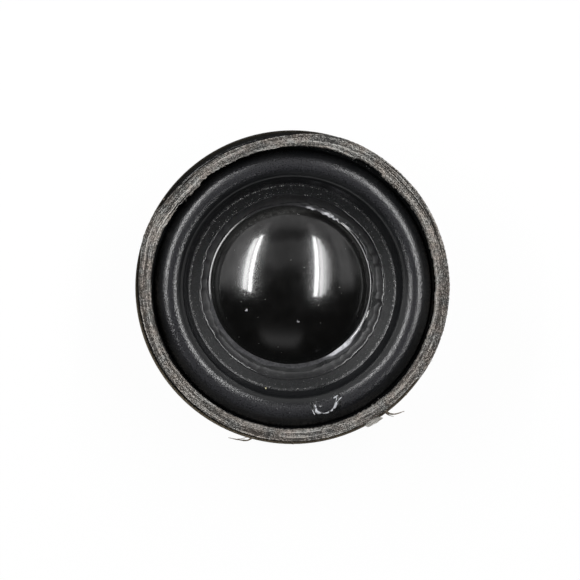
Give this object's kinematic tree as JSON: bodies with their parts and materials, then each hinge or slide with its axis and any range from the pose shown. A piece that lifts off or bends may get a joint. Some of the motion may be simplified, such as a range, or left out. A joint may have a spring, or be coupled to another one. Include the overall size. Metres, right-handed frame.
{
  "type": "loudspeaker driver",
  "caption": "Miniature moving-coil loudspeaker driver with a wound paper gasket, half-roll rubber surround, domed dust cap and rear terminals.",
  "frame": {"origin": "centre of the flange's circle, at the height of the yoke's flat back", "axes": "+Z along the driver's axis, out of its front; the terminals are on the -Y side"},
  "size_m": [0.04, 0.04, 0.0171],
  "materials": {
    "zinc_steel": "zinc plated",
    "nickel_magnet": "nickel plated",
    "black_steel": "black e-coat, satin",
    "fibre_board": "phenolic paper board",
    "tinned_brass": "tinned",
    "brass": "bare",
    "solder": "bright solder",
    "tinsel": "braided copper tinsel",
    "copper_wire": "enamelled",
    "spider_cloth": "resin-dipped cotton cloth",
    "rubber": "moulded, satin",
    "gasket_paper": "cut wound paper",
    "coated_paper": "pressed paper, coated black",
    "kraft_paper": "kraft wrap",
    "former_film": "polyimide film",
    "cap_film": "high gloss black",
    "black_glue": "cured rubber cement",
    "clear_glue": "cured contact adhesive"
  },
  "bodies": {
    "frame": {"yoke": "zinc_steel", "magnet": "nickel_magnet", "top_plate": "zinc_steel", "basket": "black_steel", "terminal_board": "fibre_board", "board_rivets": "zinc_steel", "terminal_tag_positive": "tinned_brass", "terminal_tag_negative": "tinned_brass", "tag_rivets": "brass", "lead_solder": "solder", "lead_positive": "tinsel", "lead_negative": "tinsel", "spider": "spider_cloth", "spider_glue": "clear_glue", "surround": "rubber", "rim_glue": "clear_glue", "front_gasket": "gasket_paper"},
    "diaphragm": {"voice_coil_former": "former_film", "voice_coil": "copper_wire", "coil_collar": "kraft_paper", "coil_tails": "copper_wire", "neck_glue": "black_glue", "cone": "coated_paper", "cone_glue": "black_glue", "surround_glue": "black_glue", "dust_cap": "cap_film", "cap_glue": "black_glue", "lead_anchors": "black_glue"}
  },
  "joints": [
    {"name": "cone_travel", "type": "slide", "parent": "frame", "child": "diaphragm", "axis": [0, 0, 1], "range_m": [-0.0012, 0.0012], "stiffness_N_per_m": 700, "deforming": ["surround", "spider", "lead_positive", "lead_negative"]}
  ]
}
